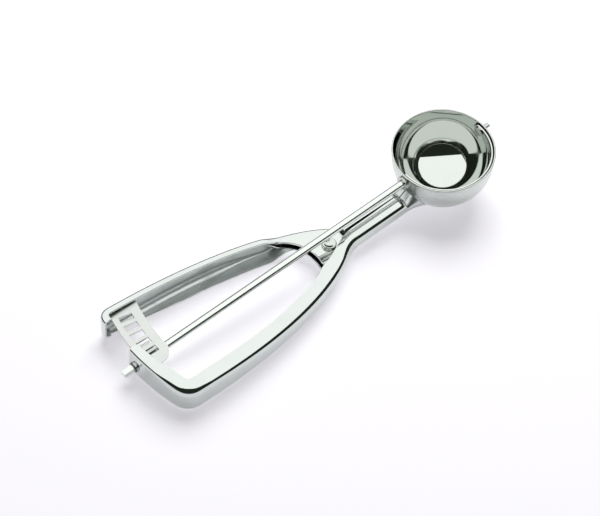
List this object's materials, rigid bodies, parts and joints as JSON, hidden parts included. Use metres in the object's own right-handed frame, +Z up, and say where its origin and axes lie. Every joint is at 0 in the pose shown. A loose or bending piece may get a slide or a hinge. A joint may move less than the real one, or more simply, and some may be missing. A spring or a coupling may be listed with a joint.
{
  "type": "lever ice cream scoop",
  "caption": "Ice cream scoop with a round bowl: squeezing its lever drives a rack and pinion that turns a scraper blade through the bowl.",
  "frame": {"origin": "centre of the outline seen from above, on the surface that the scoop lies on", "axes": "+X from the handle's end web to the bowl, +Y towards the lever, +Z up; the drive rod rises by about 5 degrees from the end web to the bowl"},
  "size_m": [0.228, 0.063, 0.033],
  "materials": {
    "bowl_steel": "satin stainless steel, bright rolled rim",
    "handle_steel": "fine satin stainless steel sheet",
    "rack_steel": "matte stainless steel plate with sheared edges",
    "rod_steel": "polished stainless steel rod",
    "pinion_steel": "sintered stainless steel, slightly grainy",
    "pin_steel": "turned stainless steel",
    "washer_steel": "stamped stainless steel",
    "bush_steel": "turned steel, dull",
    "blade_steel": "bright spring stainless steel strip",
    "rivet_steel": "formed stainless steel rivet, satin head",
    "spring_steel": "drawn spring wire, dull grey"
  },
  "bodies": {
    "frame": {"bowl": "bowl_steel", "fixed_handle": "handle_steel", "rear_bush": "bush_steel", "front_bush": "bush_steel", "pivot_rivet": "rivet_steel", "pivot_tail_washer": "washer_steel", "pivot_thrust_washer": "washer_steel", "pivot_sleeve": "bush_steel", "return_spring": "spring_steel"},
    "lever": {"lever_handle": "handle_steel", "rack_plate": "rack_steel"},
    "drive": {"drive_rod": "rod_steel", "pinion": "pinion_steel", "pinion_pin": "pin_steel", "thrust_washer": "washer_steel", "retaining_clip": "spring_steel", "scraper_blade": "blade_steel", "blade_pin": "pin_steel", "blade_pin_washer": "washer_steel", "rod_end_washer": "washer_steel"}
  },
  "joints": [
    {"name": "lever_squeeze", "type": "hinge", "parent": "frame", "child": "lever", "pos_m": [0.01056, 0.0013, 0.0074], "axis": [0, 0, 1], "range_deg": [0, 8.66], "stiffness_Nm_per_rad": 1.2, "springref_deg": -14.32, "deforming": ["return_spring"]},
    {"name": "rod_spin", "type": "hinge", "parent": "frame", "child": "drive", "pos_m": [0.08356, 0.0013, 0.0257], "axis": [0.9957, 0, 0.0923], "range_deg": [0, 180]}
  ],
  "couplings": [
    {"joint": "rod_spin", "follows": "lever_squeeze", "ratio": 20.792}
  ]
}
